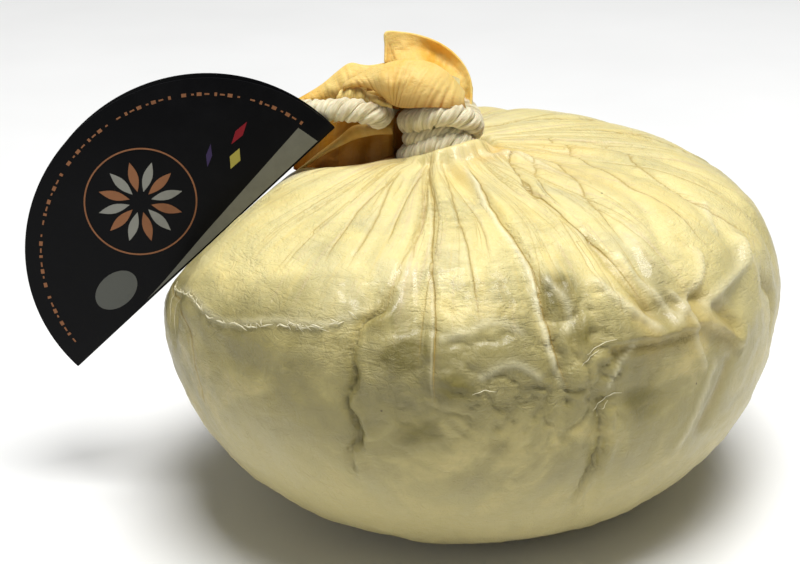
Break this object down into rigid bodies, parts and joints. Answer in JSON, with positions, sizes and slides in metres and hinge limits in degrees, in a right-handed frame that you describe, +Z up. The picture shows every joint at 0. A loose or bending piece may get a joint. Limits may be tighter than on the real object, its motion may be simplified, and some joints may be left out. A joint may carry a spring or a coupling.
{
  "type": "burduf cheese",
  "caption": "Round aged cheese in a gathered dried membrane, tied at the neck with twisted cotton cord, with a folded half-round card label on its shoulder.",
  "frame": {"origin": "centre of the small flat spot that the cheese rests on", "axes": "+Z up through the tied neck, -Y towards the shown front, -X towards the label"},
  "size_m": [0.1962, 0.1589, 0.1212],
  "materials": {
    "skin": "waxy dried membrane, soft sheen",
    "cotton": "twisted cotton, matt",
    "label_card": "black laminated card, glossy"
  },
  "bodies": {
    "root": {"cheese": "skin", "tie_cord": "cotton", "label": "label_card"}
  },
  "joints": []
}
